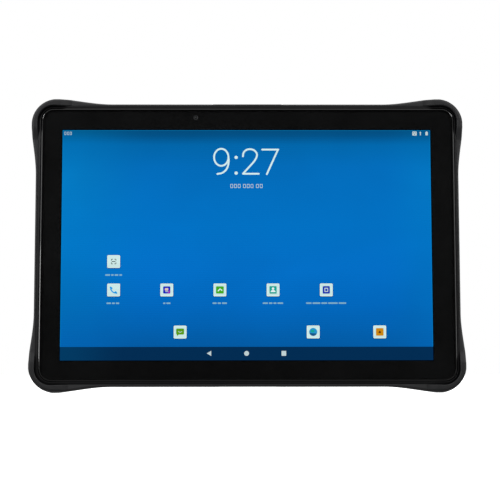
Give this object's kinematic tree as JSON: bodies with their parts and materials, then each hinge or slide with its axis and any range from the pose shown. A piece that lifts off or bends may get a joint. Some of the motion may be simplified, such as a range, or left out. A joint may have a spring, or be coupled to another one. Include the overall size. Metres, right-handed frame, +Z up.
{
  "type": "rugged tablet data collector",
  "caption": "Rugged handheld tablet for field data, with a wide glass screen, rubber edge guard and flared corner bumpers.",
  "frame": {"origin": "centre of the bounding box's bottom face, on the ground plane under the two lower corner bumpers", "axes": "+Z up the screen, +X to the right of a person facing the screen, -Y out of the screen and +Y out of the back"},
  "size_m": [0.2554, 0.0176, 0.1732],
  "materials": {
    "rubber": "matte moulded",
    "bumper_rubber": "matte moulded",
    "housing": "fine textured",
    "key_plastic": "satin",
    "gloss_trim": "gloss",
    "seal_rubber": "matte",
    "cover_glass": "polished",
    "lens_glass": "coated",
    "flash_lens": "diffuse",
    "display": "lit",
    "magnesium": "cast",
    "steel": "brushed",
    "screw_steel": "blackened",
    "circuit_board": "solder mask",
    "battery_wrap": "film wrapped",
    "ceramic": "matt",
    "flex": "polyimide",
    "black_plastic": "moulded"
  },
  "bodies": {
    "tablet": {"audio_socket": "black_plastic", "battery_cable": "seal_rubber", "battery_pack": "battery_wrap", "card_socket": "steel", "cellular_antenna": "circuit_board", "corner_bumper_bottom_left": "bumper_rubber", "corner_bumper_bottom_right": "bumper_rubber", "corner_bumper_top_left": "bumper_rubber", "corner_bumper_top_right": "bumper_rubber", "cover_glass": "cover_glass", "display_flex": "flex", "display_panel": "display", "dock_contact_block": "black_plastic", "edge_guard": "rubber", "flash_lens": "flash_lens", "front_camera": "black_plastic", "front_camera_flex": "flex", "front_frame": "gloss_trim", "glass_adhesive": "seal_rubber", "gnss_antenna": "ceramic", "housing_seal": "seal_rubber", "io_board": "circuit_board", "io_hinge_pin": "steel", "main_board": "circuit_board", "mid_frame": "magnesium", "rear_camera_bezel": "steel", "rear_camera_flex": "flex", "rear_camera_lens": "lens_glass", "rear_camera_module": "black_plastic", "rear_housing": "housing", "rear_screw_1": "screw_steel", "rear_screw_2": "screw_steel", "rear_screw_3": "screw_steel", "rear_screw_4": "screw_steel", "rear_screw_5": "screw_steel", "rear_screw_6": "screw_steel", "rear_screw_7": "screw_steel", "rear_screw_8": "screw_steel", "scan_engine": "magnesium", "scan_engine_flex": "flex", "scan_key_board": "circuit_board", "scan_window": "lens_glass", "scan_window_bezel": "gloss_trim", "shield_can_processor": "steel", "shield_can_radio": "steel", "side_key_board": "circuit_board", "speaker_left": "black_plastic", "speaker_mesh_left": "steel", "speaker_mesh_right": "steel", "speaker_right": "black_plastic", "usb_c_socket": "steel", "vibration_motor": "steel", "wifi_antenna": "circuit_board"},
    "power": {"power_button": "key_plastic"},
    "volume": {"volume_rocker": "key_plastic"},
    "scan": {"scan_button": "key_plastic"},
    "port_door": {"io_door": "rubber", "io_door_seal": "seal_rubber"}
  },
  "joints": [
    {"name": "power_press", "type": "slide", "parent": "tablet", "child": "power", "axis": [1, 0, 0], "range_m": [0, 0.0004]},
    {"name": "scan_press", "type": "slide", "parent": "tablet", "child": "scan", "axis": [-1, 0, 0], "range_m": [0, 0.0004]},
    {"name": "volume_tilt", "type": "hinge", "parent": "tablet", "child": "volume", "pos_m": [-0.1212, 0.0001, 0.1141], "axis": [0, 1, 0], "range_deg": [-2.5, 2.5]},
    {"name": "port_door_hinge", "type": "hinge", "parent": "tablet", "child": "port_door", "pos_m": [0.12335, 0.0042, 0.0651], "axis": [0, 0, 1], "range_deg": [0, 110]}
  ]
}
